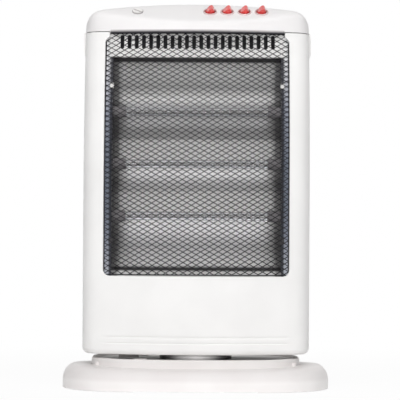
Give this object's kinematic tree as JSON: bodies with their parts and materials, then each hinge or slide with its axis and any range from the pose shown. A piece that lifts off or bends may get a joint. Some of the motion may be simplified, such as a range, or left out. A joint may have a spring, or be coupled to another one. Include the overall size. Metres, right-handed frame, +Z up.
{
  "type": "halogen heater",
  "caption": "Upright halogen room heater that swings on an oval foot: quartz tubes before a polished trough behind a bowed mesh guard, rocker switches on a sloped top.",
  "frame": {"origin": "on the floor under the turning axis of the body", "axes": "+Z up, -Y to the front where the guard is, +X to the right of somebody who looks at the front"},
  "size_m": [0.308, 0.19, 0.4487],
  "materials": {
    "white_abs": "smooth white moulded plastic",
    "black_steel": "black enamelled expanded steel",
    "polished_aluminium": "polished reflector sheet",
    "steel": "zinc plated",
    "polished_steel": "polished",
    "quartz": "clear fused quartz",
    "coil": "oxidised resistance wire",
    "ceramic": "matt unglazed",
    "red_pc": "glossy red rocker",
    "pale_bezel": "glossy",
    "rubber": "matt",
    "dark_pa": "matt dark nylon",
    "ivory_pa": "natural nylon",
    "zinc": "galvanised sheet"
  },
  "bodies": {
    "base": {"base_shell": "white_abs", "base_plate": "zinc", "foot_pads": "rubber", "base_screws": "steel", "turntable_ring": "polished_steel", "pivot_bush": "ivory_pa", "swing_motor": "steel", "tip_switch": "dark_pa"},
    "head": {"front_housing": "white_abs", "rear_housing": "white_abs", "top_cap": "white_abs", "bottom_plate": "white_abs", "pivot_sleeve": "steel", "swing_arm": "ivory_pa", "retaining_clip": "steel", "swing_stop": "dark_pa", "mesh_guard": "black_steel", "guard_clips": "ivory_pa", "reflector": "polished_aluminium", "reflector_end_left": "polished_aluminium", "reflector_end_right": "polished_aluminium", "tube_bracket_left": "steel", "tube_bracket_right": "steel", "handle_cup": "white_abs", "cord_inlet": "dark_pa", "terminal_block": "ivory_pa", "thermal_cutout": "dark_pa", "round_plug": "white_abs", "housing_screws": "steel", "quartz_tube_1": "quartz", "heating_coil_1": "coil", "ceramic_ends_1": "ceramic", "quartz_tube_2": "quartz", "heating_coil_2": "coil", "ceramic_ends_2": "ceramic", "quartz_tube_3": "quartz", "heating_coil_3": "coil", "ceramic_ends_3": "ceramic", "switch_1": "pale_bezel", "switch_2": "pale_bezel", "switch_3": "pale_bezel", "switch_4": "pale_bezel"},
    "crank": {"motor_shaft": "steel", "crank": "dark_pa"},
    "plunger": {"tip_plunger": "ivory_pa"},
    "rocker_1": {"rocker_1": "red_pc"},
    "rocker_2": {"rocker_2": "red_pc"},
    "rocker_3": {"rocker_3": "red_pc"},
    "rocker_4": {"rocker_4": "red_pc"}
  },
  "joints": [
    {"name": "head_swing", "type": "hinge", "parent": "base", "child": "head", "pos_m": [0, 0, 0.034], "axis": [0, 0, 1], "range_deg": [-30, 30]},
    {"name": "crank_spin", "type": "hinge", "parent": "base", "child": "crank", "pos_m": [-0.041, 0, 0.0222], "axis": [0, 0, 1], "range_deg": [-90, 90]},
    {"name": "tip_plunger_slide", "type": "slide", "parent": "base", "child": "plunger", "axis": [0, 0, -1], "range_m": [0, 0.004], "stiffness_N_per_m": 20, "springref_m": 0.004},
    {"name": "rocker_1_tilt", "type": "hinge", "parent": "head", "child": "rocker_1", "pos_m": [0.0146, 0.00006, 0.43697], "axis": [0, 0.8346, 0.5508], "range_deg": [0, 18]},
    {"name": "rocker_2_tilt", "type": "hinge", "parent": "head", "child": "rocker_2", "pos_m": [0.0346, 0.00006, 0.43697], "axis": [0, 0.8346, 0.5508], "range_deg": [0, 18]},
    {"name": "rocker_3_tilt", "type": "hinge", "parent": "head", "child": "rocker_3", "pos_m": [0.0546, 0.00006, 0.43697], "axis": [0, 0.8346, 0.5508], "range_deg": [0, 18]},
    {"name": "rocker_4_tilt", "type": "hinge", "parent": "head", "child": "rocker_4", "pos_m": [0.0746, 0.00006, 0.43697], "axis": [0, 0.8346, 0.5508], "range_deg": [0, 18]}
  ],
  "couplings": [
    {"joint": "crank_spin", "follows": "head_swing", "ratio": 3}
  ]
}
